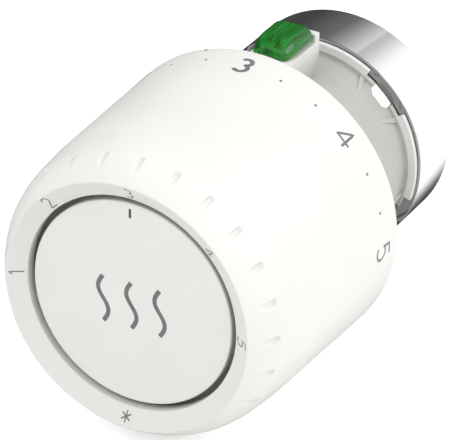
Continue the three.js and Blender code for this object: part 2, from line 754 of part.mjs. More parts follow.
// Cup round the overtravel spring. The return spring pushes on its flange.
function springCup() {
  return turned([
    [CUP_INNER_RADIUS, CUP_FRONT],
    [CUP_FLANGE_RADIUS, CUP_FRONT],
    [CUP_FLANGE_RADIUS, CUP_FRONT + CUP_FLANGE],
    [CUP_OUTER_RADIUS, CUP_FRONT + CUP_FLANGE],
    [CUP_OUTER_RADIUS, CUP_REAR],
    [0, CUP_REAR],
    [0, CUP_REAR - CUP_WALL],
    [CUP_INNER_RADIUS, CUP_REAR - CUP_WALL],
  ], SMALL_SEGMENTS);
}

// Tappet that presses the radiator valve's own spindle.
function thrustPin() {
  const headFront = CUP_REAR + GAP;
  return turned([
    [0, headFront],
    [THRUST_HEAD_RADIUS, headFront],
    [THRUST_HEAD_RADIUS, headFront + THRUST_HEAD],
    [PIN_SHAFT_RADIUS, headFront + THRUST_HEAD + THRUST_TAPER],
    [PIN_SHAFT_RADIUS, PIN_TIP - 0.4],
    [PIN_SHAFT_RADIUS - 0.4, PIN_TIP],
    [0, PIN_TIP],
  ], SMALL_SEGMENTS);
}

// Flanged bush in the base's web that guides the thrust pin.
function pinGuide() {
  return turned([
    [GUIDE_BORE_RADIUS, GUIDE_FRONT],
    [GUIDE_FLANGE_RADIUS, GUIDE_FRONT],
    [GUIDE_FLANGE_RADIUS, WEB_FRONT - GAP],
    [WEB_HOLE_RADIUS - GAP, WEB_FRONT - GAP],
    [WEB_HOLE_RADIUS - GAP, WEB_REAR - 0.1],
    [GUIDE_BORE_RADIUS, WEB_REAR - 0.1],
  ], SMALL_SEGMENTS);
}

// ---- Union ----

// Polished collar that the fitter's hand turns, with the lip that the base's split ring holds.
function chromeCollar() {
  return turned([
    [COLLAR_LIP_RADIUS, COLLAR_FRONT],
    [COLLAR_RADIUS - 0.4, COLLAR_FRONT],
    [COLLAR_RADIUS, COLLAR_FRONT + 0.4],
    [COLLAR_RADIUS, HEAD_LENGTH - 0.4],
    [COLLAR_RADIUS - 0.4, HEAD_LENGTH],
    [COLLAR_WALL_RADIUS, HEAD_LENGTH],
    [COLLAR_WALL_RADIUS, COLLAR_FRONT + COLLAR_LIP],
    [COLLAR_LIP_RADIUS, COLLAR_FRONT + COLLAR_LIP],
  ]);
}

// Brass nut pressed into the collar. Its bore is the crest line of an M30 x 1.5 thread.
function unionNut() {
  return turned([
    [NUT_THREAD_RADIUS + NUT_CHAMFER, NUT_FRONT],
    [NUT_OUTER_RADIUS, NUT_FRONT],
    [NUT_OUTER_RADIUS, NUT_REAR],
    [NUT_THREAD_RADIUS + NUT_CHAMFER, NUT_REAR],
    [NUT_THREAD_RADIUS, NUT_REAR - NUT_CHAMFER],
    [NUT_THREAD_RADIUS, NUT_FRONT + NUT_CHAMFER],
  ]);
}

// ---- Assembly ----

const head = new THREE.Group();
head.position.y = -HEAD_LENGTH;

function place(name, shape, material) {
  const mesh = new THREE.Mesh(surface(shape), material);
  mesh.name = name;
  head.add(mesh);
}

place('control_knob', controlKnob(), warmWhite);
place('knob_drive_sleeve', knobDriveSleeve(), innerWhite);
place('knob_snap_ring', splitRing(
  SNAP_RING_INNER_RADIUS,
  SNAP_RING_OUTER_RADIUS,
  SNAP_RING_FRONT,
  SNAP_RING_REAR,
), springSteel);
place('knob_bearing_ring', ring(
  BEARING_INNER_RADIUS,
  SLEEVE_OUTER_RADIUS,
  SLEEVE_END + GAP,
  BEARING_REAR,
  INNER_SEGMENTS,
), acetal);
place('dial_disc', dialDisc(), coverGrey);
place('guide_cage', guideCage(), innerWhite);
place('mounting_base', mountingBase(), baseGrey);
place('index_lens', indexLens(), green);
place('limiter_ring', limiterRing(), baseGrey);
place('limiter_pin_min', limiterPin(STOP_ANGLE), darkAcetal);
place('limiter_pin_max', limiterPin(-STOP_ANGLE), darkAcetal);
place('sensor_carrier', sensorCarrier(), acetal);
place('sensor_capsule', sensorCapsule(), aluminium);
place('sensor_bellows', sensorBellows(), bronze);
place('push_rod', pushRod(), brass);
place('spring_cup', springCup(), acetal);
place('spring_cup_retainer', splitRing(
  RETAINER_CLIP.inner,
  RETAINER_CLIP.outer,
  RETAINER_CLIP.front,
  RETAINER_CLIP.rear,
), springSteel);
place('overtravel_spring', coilSpring(OVERTRAVEL_COIL), springSteel);
place('thrust_pin', thrustPin(), springSteel);
place('return_spring', coilSpring(RETURN_COIL), springSteel);
place('spring_seat', ring(
  SEAT_INNER_RADIUS,
  SEAT_OUTER_RADIUS,
  SEAT_FRONT,
  SEAT_REAR,
  INNER_SEGMENTS,
), springSteel);
place('pin_guide', pinGuide(), acetal);
place('chrome_collar', chromeCollar(), chrome);
place('union_nut', unionNut(), brass);
place('collar_retaining_ring', splitRing(
  RETAINER_INNER_RADIUS,
  RETAINER_OUTER_RADIUS,
  RETAINER_FRONT,
  RETAINER_REAR,
), springSteel);

const valveHead = new THREE.Group();
valveHead.add(head);

export default valveHead;
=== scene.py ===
"""Looks of the thermostatic radiator valve head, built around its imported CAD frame.

The head lies along Y with its dial facing -Y. Lengths in this file are in millimetres until they
are placed: a depth is measured backwards from the plane of the knob's front rim, a radius from
the axis, and an angle clockwise from the top as the dial is read.
"""

import math

import bmesh
import bpy
from mathutils import Matrix, Vector


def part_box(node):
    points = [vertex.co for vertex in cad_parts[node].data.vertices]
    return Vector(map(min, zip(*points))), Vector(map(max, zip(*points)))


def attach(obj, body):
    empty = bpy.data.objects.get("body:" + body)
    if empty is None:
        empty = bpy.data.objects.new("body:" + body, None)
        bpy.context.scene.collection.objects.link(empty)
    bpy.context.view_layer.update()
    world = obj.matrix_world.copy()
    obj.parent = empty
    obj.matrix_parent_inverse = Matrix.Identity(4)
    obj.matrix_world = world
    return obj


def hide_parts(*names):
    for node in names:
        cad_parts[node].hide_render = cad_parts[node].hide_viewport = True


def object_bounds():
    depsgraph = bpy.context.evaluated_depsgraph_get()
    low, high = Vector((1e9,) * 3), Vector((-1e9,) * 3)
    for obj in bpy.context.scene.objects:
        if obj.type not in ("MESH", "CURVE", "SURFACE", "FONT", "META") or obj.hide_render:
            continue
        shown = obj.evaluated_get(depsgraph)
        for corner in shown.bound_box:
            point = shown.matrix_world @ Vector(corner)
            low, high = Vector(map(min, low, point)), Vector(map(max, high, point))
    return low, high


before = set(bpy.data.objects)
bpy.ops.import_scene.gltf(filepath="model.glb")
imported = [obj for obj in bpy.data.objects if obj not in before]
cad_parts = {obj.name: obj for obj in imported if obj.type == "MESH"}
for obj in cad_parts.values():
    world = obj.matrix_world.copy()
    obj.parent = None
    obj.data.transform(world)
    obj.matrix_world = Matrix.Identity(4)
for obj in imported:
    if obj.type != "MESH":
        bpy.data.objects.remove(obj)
cad_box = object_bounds()

MM = 0.001
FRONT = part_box("control_knob")[0].y
DIAL_TURN = 1.5  # in degrees: the knob rests a little clockwise of the index mark


def reach(node):
    """How far a CAD node reaches from the axis, its front depth and its rear depth."""
    low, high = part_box(node)
    return high.x / MM, (low.y - FRONT) / MM, (high.y - FRONT) / MM


KNOB_RADIUS, _, KNOB_LENGTH = reach("control_knob")
COLLAR_RADIUS, _, HEAD_LENGTH = reach("chrome_collar")


# ---- Points and outlines ----

STRAIGHT_ANGLE = math.radians(176)  # corners flatter than this aren't rounded
CORNER_SHARE = 0.48  # the most of an edge that one rounded corner may use


def at(radius, depth, angle):
    """The point in the scene, in metres, at a radius, depth and angle."""
    turn = math.radians(angle)
    return Vector((radius * MM * math.sin(turn), FRONT + depth * MM, radius * MM * math.cos(turn)))


def rounded(outline, radius, steps=4):
    """A closed outline of (radius, depth) corners with each corner rounded off."""
    points = []
    count = len(outline)
    for i, corner in enumerate(outline):
        here = Vector(corner[:2])
        before = Vector(outline[i - 1][:2])
        after = Vector(outline[(i + 1) % count][:2])
        size = corner[2] if len(corner) > 2 else radius
        back = before - here
        ahead = after - here
        opening = back.angle(ahead)
        if size == 0 or opening > STRAIGHT_ANGLE or here.x == 0:
            points.append(tuple(here))
            continue
        setback = size / math.tan(opening / 2)
        setback = min(setback, CORNER_SHARE * back.length, CORNER_SHARE * ahead.length)
        start = here + back.normalized() * setback
        end = here + ahead.normalized() * setback
        for step in range(steps + 1):
            t = step / steps
            points.append(tuple(start.lerp(here, t).lerp(here.lerp(end, t), t)))
    return points


# ---- Mesh building ----

SHARP_ANGLE = 40
CUT_SHARP_ANGLE = 35
BEVEL_ANGLE = math.radians(50)
MERGE_DISTANCE = 1e-7


def finish_mesh(mesh, sharp_angle=SHARP_ANGLE):
    """Faces outwards and smooth, except across edges sharper than the angle."""
    shape = bmesh.new()
    shape.from_mesh(mesh)
    bmesh.ops.remove_doubles(shape, verts=shape.verts, dist=MERGE_DISTANCE)
    bmesh.ops.recalc_face_normals(shape, faces=shape.faces)
    shape.to_mesh(mesh)
    shape.free()
    mesh.shade_smooth()
    mesh.set_sharp_from_angle(angle=math.radians(sharp_angle))


def new_piece(name, vertices, faces, sharp_angle=SHARP_ANGLE):
    mesh = bpy.data.meshes.new(name)
    mesh.from_pydata(vertices, [], faces)
    finish_mesh(mesh, sharp_angle)
    piece = bpy.data.objects.new(name, mesh)
    bpy.context.scene.collection.objects.link(piece)
    return piece


def turned(name, outline, columns=180, shape=None, angles=None, sharp_angle=SHARP_ANGLE):
    """A body of revolution. shape(radius, depth, angle) may move a point of the surface in or out."""
    angles = angles or [360 * i / columns for i in range(columns)]
    columns = len(angles)
    vertices = []
    faces = []
    for radius, depth in outline:
        for angle in angles:
            r = shape(radius, depth, angle) if shape else radius
            vertices.append(at(r, depth, angle))
    rows = len(outline)
    for row in range(rows):
        below = row * columns
        above = ((row + 1) % rows) * columns
        if outline[row][0] == 0 and outline[(row + 1) % rows][0] == 0:
            continue
        for i in range(columns):
            j = (i + 1) % columns
            faces.append((below + i, below + j, above + j, above + i))
    return new_piece(name, vertices, faces, sharp_angle)


def with_cuts(piece, cutters, bevel=0.0):
    """Cuts the cutters out of the piece, rounds its sharp edges and keeps the result as a plain mesh."""
    for cutter in cutters:
        cut = piece.modifiers.new("cut", "BOOLEAN")
        cut.operation = "DIFFERENCE"
        cut.solver = "EXACT"
        cut.object = cutter
    if bevel:
        edges = piece.modifiers.new("edges", "BEVEL")
        edges.width = bevel * MM
        edges.segments = 2
        edges.limit_method = "ANGLE"
        edges.angle_limit = BEVEL_ANGLE
        edges.use_clamp_overlap = True
    bpy.context.view_layer.update()
    graph = bpy.context.evaluated_depsgraph_get()
    mesh = bpy.data.meshes.new_from_object(piece.evaluated_get(graph))
    piece.modifiers.clear()
    piece.data = mesh
    mesh.shade_smooth()
    mesh.set_sharp_from_angle(angle=math.radians(CUT_SHARP_ANGLE))
    for cutter in cutters:
        bpy.data.objects.remove(cutter)


def block_faces(count, stations=2):
    """Faces of a solid whose outline of so many points is repeated at each station, with both ends closed."""
    last = (stations - 1) * count
    faces = [tuple(range(count)), tuple(last + k for k in reversed(range(count)))]
    for low in range(0, last, count):
        for k in range(count):
            n = (k + 1) % count
            faces.append((low + k, low + count + k, low + count + n, low + n))
    return faces


def prism(name, outline, inner_radius, outer_radius, angle, lean=0.0):
    """A solid with an outline of (across, depth) points, standing out along the radius at the angle.

    With a lean it slants to the rear going in, by that much for each millimetre below the base's wall.
    """
    turn = Matrix.Rotation(math.radians(angle), 3, "Y")
    vertices = []
    for radius in (inner_radius, outer_radius):
        shift = lean * (BASE_RADIUS - radius)
        for across, depth in outline:
            point = Vector((across * MM, FRONT + (depth + shift) * MM, radius * MM))
            vertices.append(turn @ point)
    return new_piece(name, vertices, block_faces(len(outline)))


PEG_SIDES = 48
BAR_STEP = 2.0  # degrees


def peg(name, radius, front, rear, circle_radius, angle):
    """A round peg along Y at a circle radius and an angle."""
    centre = at(circle_radius, 0, angle)
    vertices = []
    for depth in (front, rear):
        for i in range(PEG_SIDES):
            turn = 2 * math.pi * i / PEG_SIDES
            offset = Vector((radius * MM * math.sin(turn), depth * MM, radius * MM * math.cos(turn)))
            vertices.append(centre + offset)
    return new_piece(name, vertices, block_faces(PEG_SIDES))


def bent_bar(name, inner_radius, outer_radius, start, end, front, rear):
    """A bar bent round the axis from one angle to another."""
    corners = ((inner_radius, front), (outer_radius, front), (outer_radius, rear), (inner_radius, rear))
    count = max(2, int(abs(end - start) / BAR_STEP))
    vertices = []
    for i in range(count + 1):
        angle = start + (end - start) * i / count
        vertices += [at(radius, depth, angle) for radius, depth in corners]
    return new_piece(name, vertices, block_faces(len(corners), count + 1))


# ---- Materials ----

NOISE_LOW = 0.3  # nearly all of a noise texture's values lie between these two
NOISE_HIGH = 0.7
SHELTER_DISTANCE = 1.6
SHELTER_SAMPLES = 8
DEEPEST = 0.1  # ambient occlusion where the painted shade is darkest
OPEN = 0.89  # ambient occlusion where it stops
RECESS_SHADE_TONE = 0.12  # how light the painted shade in a recess is, as a share of the surface's own colour
GRAIN_HEIGHT = 0.02


def material(name, color, roughness, metallic=0.0, grain=0.0, grain_size=0.2, tint=0.03, rough_spread=0.06,
             cloud_size=9.0, recess_shade=0.0, **sockets):
    """A surface with cloudy colour and gloss variation, a fine grain and shade painted into its recesses."""
    look = bpy.data.materials.new(name)
    look.use_nodes = True
    nodes = look.node_tree.nodes
    links = look.node_tree.links
    shader = nodes["Principled BSDF"]
    shader.inputs["Metallic"].default_value = metallic
    for socket, value in sockets.items():
        shader.inputs[socket.replace("_", " ")].default_value = value

    place = nodes.new("ShaderNodeTexCoord")
    clouds = nodes.new("ShaderNodeTexNoise")
    clouds.inputs["Scale"].default_value = 1 / (cloud_size * MM)
    clouds.inputs["Detail"].default_value = 4
    links.new(place.outputs["Object"], clouds.inputs["Vector"])

    shade = nodes.new("ShaderNodeValToRGB")
    shade.color_ramp.elements[0].position = NOISE_LOW
    shade.color_ramp.elements[1].position = NOISE_HIGH
    shade.color_ramp.elements[0].color = (*[c * (1 - tint) for c in color], 1)
    shade.color_ramp.elements[1].color = (*[min(1, c * (1 + tint)) for c in color], 1)
    links.new(clouds.outputs["Fac"], shade.inputs["Fac"])
    links.new(shade.outputs["Color"], shader.inputs["Base Color"])

    gloss = nodes.new("ShaderNodeMapRange")
    gloss.inputs["From Min"].default_value = NOISE_LOW
    gloss.inputs["From Max"].default_value = NOISE_HIGH
    gloss.inputs["To Min"].default_value = max(0.0, roughness - rough_spread)
    gloss.inputs["To Max"].default_value = roughness + rough_spread
    links.new(clouds.outputs["Fac"], gloss.inputs["Value"])
    links.new(gloss.outputs["Result"], shader.inputs["Roughness"])

    # Painted shade: the colour darkens where ambient occlusion finds a recess.
    if recess_shade:
        shelter = nodes.new("ShaderNodeAmbientOcclusion")
        shelter.samples = SHELTER_SAMPLES
        shelter.inputs["Distance"].default_value = SHELTER_DISTANCE * MM
        recess_shade_amount = nodes.new("ShaderNodeMapRange")
        recess_shade_amount.inputs["From Min"].default_value = DEEPEST
        recess_shade_amount.inputs["From Max"].default_value = OPEN
        recess_shade_amount.inputs["To Min"].default_value = recess_shade
        recess_shade_amount.inputs["To Max"].default_value = 0.0
        recess_shaded = nodes.new("ShaderNodeMix")
        recess_shaded.data_type = "RGBA"
        recess_shaded.inputs["B"].default_value = (*[c * RECESS_SHADE_TONE for c in color], 1)
        links.new(shelter.outputs["AO"], recess_shade_amount.inputs["Value"])
        links.new(recess_shade_amount.outputs["Result"], recess_shaded.inputs["Factor"])
        links.new(shade.outputs["Color"], recess_shaded.inputs["A"])
        links.new(recess_shaded.outputs["Result"], shader.inputs["Base Color"])

    if grain:
        fine = nodes.new("ShaderNodeTexNoise")
        fine.inputs["Scale"].default_value = 1 / (grain_size * MM)
        fine.inputs["Detail"].default_value = 3
        bump = nodes.new("ShaderNodeBump")
        bump.inputs["Strength"].default_value = grain
        bump.inputs["Distance"].default_value = GRAIN_HEIGHT * MM
        links.new(place.outputs["Object"], fine.inputs["Vector"])
        links.new(fine.outputs["Fac"], bump.inputs["Height"])
        links.new(bump.outputs["Normal"], shader.inputs["Normal"])
    return look


WEAR_START = 0.52  # pointiness is 0.5 on a flat face and rises towards a convex edge
WEAR_FULL = 0.6
WEAR_AMOUNT = 0.5


def edge_wear(look, color):
    """Lighter, rubbed colour along the convex edges of a surface."""
    nodes = look.node_tree.nodes
    links = look.node_tree.links
    shader = nodes["Principled BSDF"]
    source = shader.inputs["Base Color"].links[0].from_socket
    geometry = nodes.new("ShaderNodeNewGeometry")
    edge = nodes.new("ShaderNodeMapRange")
    edge.inputs["From Min"].default_value = WEAR_START
    edge.inputs["From Max"].default_value = WEAR_FULL
    edge.inputs["To Max"].default_value = WEAR_AMOUNT
    mix = nodes.new("ShaderNodeMix")
    mix.data_type = "RGBA"
    mix.inputs["B"].default_value = (*color, 1)
    links.new(geometry.outputs["Pointiness"], edge.inputs["Value"])
    links.new(edge.outputs["Result"], mix.inputs["Factor"])
    links.new(source, mix.inputs["A"])
    links.new(mix.outputs["Result"], shader.inputs["Base Color"])


ACROSS_AXIS = (1, 0, 1)
ALONG_AXIS = (0, 1, 0)


def faded(look, direction, start, end, color):
    """Paints light or shade: fades the surface to another colour between two distances from the origin,
    across or along the axis.
    """
    nodes = look.node_tree.nodes
    links = look.node_tree.links
    shader = nodes["Principled BSDF"]
    source = shader.inputs["Base Color"].links[0].from_socket
    place = nodes.new("ShaderNodeTexCoord")
    flatten = nodes.new("ShaderNodeVectorMath")
    flatten.operation = "MULTIPLY"
    flatten.inputs[1].default_value = direction
    length = nodes.new("ShaderNodeVectorMath")
    length.operation = "LENGTH"
    fade = nodes.new("ShaderNodeMapRange")
    fade.inputs["From Min"].default_value = start * MM
    fade.inputs["From Max"].default_value = end * MM
    mix = nodes.new("ShaderNodeMix")
    mix.data_type = "RGBA"
    mix.inputs["B"].default_value = (*color, 1)
    links.new(place.outputs["Object"], flatten.inputs[0])
    links.new(flatten.outputs["Vector"], length.inputs[0])
    links.new(length.outputs["Value"], fade.inputs["Value"])
    links.new(fade.outputs["Result"], mix.inputs["Factor"])
    links.new(source, mix.inputs["A"])
    links.new(mix.outputs["Result"], shader.inputs["Base Color"])


# Each material's recess setting paints shade into its recesses.
knob_white = material("knob_white", (0.91, 0.903, 0.872), 0.42, grain=0.12, grain_size=0.12, tint=0.012,
                      cloud_size=14, recess_shade=0.9)
disc_grey = material("disc_grey", (0.90, 0.893, 0.858), 0.36, grain=0.08, grain_size=0.1, tint=0.012,
                     cloud_size=12, recess_shade=0.9)
base_grey = material("base_grey", (0.53, 0.528, 0.502), 0.40, grain=0.15, grain_size=0.15, tint=0.025,
                     cloud_size=6, recess_shade=0.1)
bracket_white = material("bracket_white", (0.80, 0.80, 0.78), 0.4, grain=0.1, tint=0.02,
                         cloud_size=4, recess_shade=0.3)
inner_white = material("inner_white", (0.72, 0.715, 0.69), 0.5, grain=0.2, tint=0.03, cloud_size=5)
acetal = material("acetal", (0.66, 0.64, 0.57), 0.45, grain=0.2, tint=0.03, cloud_size=5)
pin_grey = material("pin_grey", (0.10, 0.11, 0.12), 0.45, grain=0.2, tint=0.08, cloud_size=3)
print_grey = material("print_grey", (0.19, 0.205, 0.22), 0.55, grain=0.1, grain_size=0.08, tint=0.12,
                      cloud_size=1.5)
print_dark = material("print_dark", (0.07, 0.075, 0.08), 0.5, grain=0.1, grain_size=0.08, tint=0.1,
                      cloud_size=1.5)
chrome = material("chrome", (0.86, 0.87, 0.88), 0.06, metallic=1.0, tint=0.01, rough_spread=0.02,
                  cloud_size=11, grain=0.015, grain_size=0.9)
brass = material("brass", (0.62, 0.44, 0.18), 0.28, metallic=1.0, grain=0.12, grain_size=0.1, tint=0.06,
                 cloud_size=4)
aluminium = material("aluminium", (0.70, 0.71, 0.72), 0.34, metallic=1.0, grain=0.15, tint=0.04, cloud_size=5)
bronze = material("bronze", (0.50, 0.31, 0.15), 0.32, metallic=1.0, grain=0.15, tint=0.08, cloud_size=4)
spring_steel = material("spring_steel", (0.48, 0.50, 0.52), 0.26, metallic=1.0, grain=0.15, tint=0.06,
                        cloud_size=3)

# Painted light and shade: the number ring's slope is darker, the flange lighter, the bracket darker towards
# its foot and the collar's front face darker than the rest.
faded(knob_white, ACROSS_AXIS, 21.45, 21.25, (0.86, 0.853, 0.826))
faded(base_grey, ACROSS_AXIS, 17.6, 17.8, (0.84, 0.84, 0.82))
faded(bracket_white, ACROSS_AXIS, 23.0, 17.0, (0.46, 0.46, 0.44))
faded(chrome, ALONG_AXIS, HEAD_LENGTH - 62.1, HEAD_LENGTH - 61.95, (0.42, 0.42, 0.425))

edge_wear(brass, (0.80, 0.66, 0.40))
edge_wear(spring_steel, (0.75, 0.76, 0.78))
edge_wear(pin_grey, (0.25, 0.26, 0.27))
lens_green = material("lens_green", (0.02, 0.40, 0.035), 0.25, tint=0.1, rough_spread=0.03, cloud_size=3,
                      grain=0.05, grain_size=0.6, Transmission_Weight=0.6, IOR=1.49)


def painted_rib_streaks(look, dark, light, width, length):
    """Painted light and shade: streaks along the axis, as light through a moulded ribbed lens shows them."""
    nodes = look.node_tree.nodes
    links = look.node_tree.links
    shader = nodes["Principled BSDF"]
    place = nodes.new("ShaderNodeTexCoord")
    stretch = nodes.new("ShaderNodeVectorMath")
    stretch.operation = "MULTIPLY"
    stretch.inputs[1].default_value = (1 / (width * MM), 1 / (length * MM), 1 / (width * MM))
    noise = nodes.new("ShaderNodeTexNoise")
    noise.inputs["Scale"].default_value = 1
    noise.inputs["Detail"].default_value = 3
    ramp = nodes.new("ShaderNodeValToRGB")
    ramp.color_ramp.elements[0].position = 0.4
    ramp.color_ramp.elements[0].color = (*dark, 1)
    ramp.color_ramp.elements[1].position = 0.6
    ramp.color_ramp.elements[1].color = (*light, 1)
    links.new(place.outputs["Object"], stretch.inputs[0])
    links.new(stretch.outputs["Vector"], noise.inputs["Vector"])
    links.new(noise.outputs["Fac"], ramp.inputs["Fac"])
    links.new(ramp.outputs["Color"], shader.inputs["Base Color"])


# The lens's streaks are painted light and shade.
painted_rib_streaks(lens_green, (0.006, 0.19, 0.012), (0.025, 0.50, 0.045), 0.8, 12)


def dress(piece, look, body, slot=None, *nodes):
    """Gives a piece its material, the body it moves with and the CAD nodes it stands for; the slot, its
    finish, is not used.
    """
    piece.data.materials.clear()
    piece.data.materials.append(look)
    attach(piece, body)
    if nodes:
        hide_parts(*nodes)


# ---- Knob ----

# Control points of the curve from the rim over the grip to the side, as (radius, depth).
SHOULDER = ((21.4, 0.0), (24.9, 4.2), (24.6, 7.0), (25.2, 13.0))
SHOULDER_STEPS = 64
SHOULDER_SKIPPED = 4  # steps that the rounded rim takes up
SIDE_DEPTHS = (20, 28, 34, 38)
SIDE_REAR = KNOB_LENGTH - 1.3  # where the taper would reach the full radius
# Corners of the knob's inside from the rear to the front, as (radius, depth, rounding).
KNOB_INSIDE = (
    (24.5, KNOB_LENGTH, 0.25), (24.3, 39.6, 0.3), (23.5, 13.0, 0.3), (22.8, 6.4, 1.0), (20.8, 4.1, 0.6),
)
DIAL_OUTER = 21.15
DIAL_INNER = 18.46
DIAL_DEPTH = 1.76
DIAL_BACK = 3.66
RIM_ROUNDING = 0.35
NOTCH_COUNT = 24
NOTCH_RADIUS = 0.62
NOTCH_CENTRE = (23.845, 3.25)  # radius and depth
NOTCH_LENGTH = 2.8
NOTCH_TILT = math.radians(17)
NOTCH_INNERMOST = 21.5  # no notch reaches inside this radius or past these depths
NOTCH_DEPTHS = (0.8, 7)
NOTCH_SOFTNESS = 0.06
# Columns of the mesh, in degrees from a notch's middle: close together on both sides of it, then wider.
NOTCH_COLUMNS = (0.2, 0.4, 0.6, 0.8, 1.0, 1.2, 1.36, 1.48, 1.6, 1.75, 2.1)
PLAIN_COLUMNS = (4.0, 6.0, 9.0, 11.0)


def shoulder_point(t):
    """A point of the curve from the rim to the straight side, as (radius, depth)."""
    weights = ((1 - t) ** 3, 3 * t * (1 - t) ** 2, 3 * t * t * (1 - t), t ** 3)
    return tuple(sum(w * p[k] for w, p in zip(weights, SHOULDER)) for k in (0, 1))


def side_radius(depth):
    """The knob's outside radius at a depth behind the shoulder."""
    end_radius, end_depth = SHOULDER[-1]
    t = (depth - end_depth) / (SIDE_REAR - end_depth)
    return end_radius + (KNOB_RADIUS - end_radius) * t


def scooped(radius, depth, angle):
    """The knob's outside with its finger notches: short round channels that run out towards the rim."""
    if radius < NOTCH_INNERMOST or not NOTCH_DEPTHS[0] < depth < NOTCH_DEPTHS[1]:
        return radius
    pitch = 360 / NOTCH_COUNT
    off = (angle - DIAL_TURN + pitch / 2) % pitch - pitch / 2
    across = radius * math.radians(off)
    along = (depth - NOTCH_CENTRE[1]) / math.cos(NOTCH_TILT)
    past_end = max(0.0, abs(along) - NOTCH_LENGTH / 2)
    room = NOTCH_RADIUS ** 2 - across ** 2 - past_end ** 2
    if room <= 0:
        return radius
    axis = NOTCH_CENTRE[0] + along * math.sin(NOTCH_TILT)
    channel = axis - math.sqrt(room) / math.cos(NOTCH_TILT)
    blend = max(NOTCH_SOFTNESS - abs(channel - radius), 0) / NOTCH_SOFTNESS
    return min(channel, radius) - blend * blend * NOTCH_SOFTNESS / 4


def make_knob():
    steps = range(SHOULDER_SKIPPED, SHOULDER_STEPS + 1)
    shoulder = [(*shoulder_point(i / SHOULDER_STEPS), 0) for i in steps]
    side = [(side_radius(depth), depth, 0) for depth in SIDE_DEPTHS]
    outline = rounded([
        (*SHOULDER[0], RIM_ROUNDING),
        *shoulder,
        *side,
        (KNOB_RADIUS, KNOB_LENGTH, 0.9),
        *KNOB_INSIDE,
        (DIAL_INNER, DIAL_BACK, 0.15),
        (DIAL_INNER, DIAL_DEPTH, 0.16),
        (DIAL_OUTER, 0.0, RIM_ROUNDING),
    ], 0.3, steps=5)
    pitch = 360 / NOTCH_COUNT
    columns = [-c for c in reversed(NOTCH_COLUMNS)] + [0.0, *NOTCH_COLUMNS, *PLAIN_COLUMNS]
    angles = [DIAL_TURN + pitch * i + off for i in range(NOTCH_COUNT) for off in columns]
    knob = turned("knob_shell", outline, shape=scooped, angles=angles, sharp_angle=32)
    dress(knob, knob_white, "knob", "knob_white", "control_knob")


# ---- Printed numbers ----

FILM = 0.12  # a stroke's height over its width
STROKE_STEP = 0.12
DIAL_SIGN_RADIUS = 19.92
DIAL_SIGN_HEIGHT = 2.05
DIAL_STROKE = 0.22
SIDE_SIGN_DEPTH = 35.95
SIDE_SIGN_HEIGHT = 3.9
SIDE_STROKE = 0.46
BOLD_STROKE = 0.78
DOT_STROKE = 0.36
DOT_STEP = 15
EDGE_DASH_ANGLE = -20
EDGE_DASH_STROKE = 0.4
NUMBERS = (("3", 0), ("4", 45), ("5", 90), ("frost", 180), ("1", -90), ("2", -45))


def arc(centre, radius, start, end, steps=14):
    """Points along an arc. Angles are in degrees, anticlockwise from the right."""
    points = []
    for i in range(steps + 1):
        turn = math.radians(start + (end - start) * i / steps)
        points.append((centre[0] + radius * math.cos(turn), centre[1] + radius * math.sin(turn)))
    return points


# Strokes of each sign in a box one unit high, as lists of points.
SIGNS = {
    "1": [[(-0.18, 0.27), (0.04, 0.5), (0.04, -0.5)]],
    "2": [arc((0.0, 0.23), 0.27, 165, -38) + [(-0.3, -0.5), (0.32, -0.5)]],
    "3": [arc((0.0, 0.25), 0.25, 145, -75) + arc((0.0, -0.22), 0.28, 75, -145)],
    "4": [[(0.16, -0.5), (0.16, 0.5), (-0.36, -0.2), (0.38, -0.2)]],
    "5": [[(0.27, 0.5), (-0.2, 0.5), (-0.24, 0.02)] + arc((-0.03, -0.17), 0.33, 135, -140)],
    "frost": [[(0.42 * math.cos(a), 0.42 * math.sin(a)), (-0.42 * math.cos(a), -0.42 * math.sin(a))]
              for a in (math.radians(90), math.radians(30), math.radians(150))],
    "dot": [arc((0, 0), 0.1, 0, 360, 8)],
    "tick": [[(0.0, 0.5), (0.0, -0.5)]],
    "edge dash": [[(-0.25, 3.9), (0.25, 3.9)]],
    "wave": [[(0.11 * math.sin(2 * math.pi * k / 24), k / 24 - 0.5) for k in range(25)]],
}


def stroke_solid(sign, height, width):
    """The sign as rounded strokes lying in X and Y, in millimetres: its vertices and faces."""
    curve = bpy.data.curves.new("strokes", "CURVE")
    curve.dimensions = "3D"
    curve.bevel_depth = width / 2
    curve.bevel_resolution = 1
    curve.use_fill_caps = True
    for line in SIGNS[sign]:
        dense = []
        for a, b in zip(line, line[1:]):
            parts = max(1, int(math.dist(a, b) / STROKE_STEP))
            run, rise = b[0] - a[0], b[1] - a[1]
            dense += [(a[0] + run * k / parts, a[1] + rise * k / parts) for k in range(parts)]
        dense.append(line[-1])
        spline = curve.splines.new("POLY")
        spline.points.add(len(dense) - 1)
        for point, (x, y) in zip(spline.points, dense):
            point.co = (x * height, y * height, 0, 1)
    holder = bpy.data.objects.new("strokes", curve)
    bpy.context.scene.collection.objects.link(holder)
    bpy.context.view_layer.update()
    graph = bpy.context.evaluated_depsgraph_get()
    mesh = bpy.data.meshes.new_from_object(holder.evaluated_get(graph))
    vertices = [tuple(v.co) for v in mesh.vertices]
    faces = [tuple(p.vertices) for p in mesh.polygons]
    bpy.data.objects.remove(holder)
    return vertices, faces


def printed(name, marks, place_on):
    """Thin printed films as one piece. marks are (sign, height, stroke width, angle or place across)."""
    vertices = []
    faces = []
    for sign, height, width, where in marks:
        points, loops = stroke_solid(sign, height, width)
        base = len(vertices)
        vertices += [place_on(x, y, z, where) for x, y, z in points]
        faces += [tuple(base + k for k in loop) for loop in loops]
    return new_piece(name, vertices, faces, sharp_angle=60)


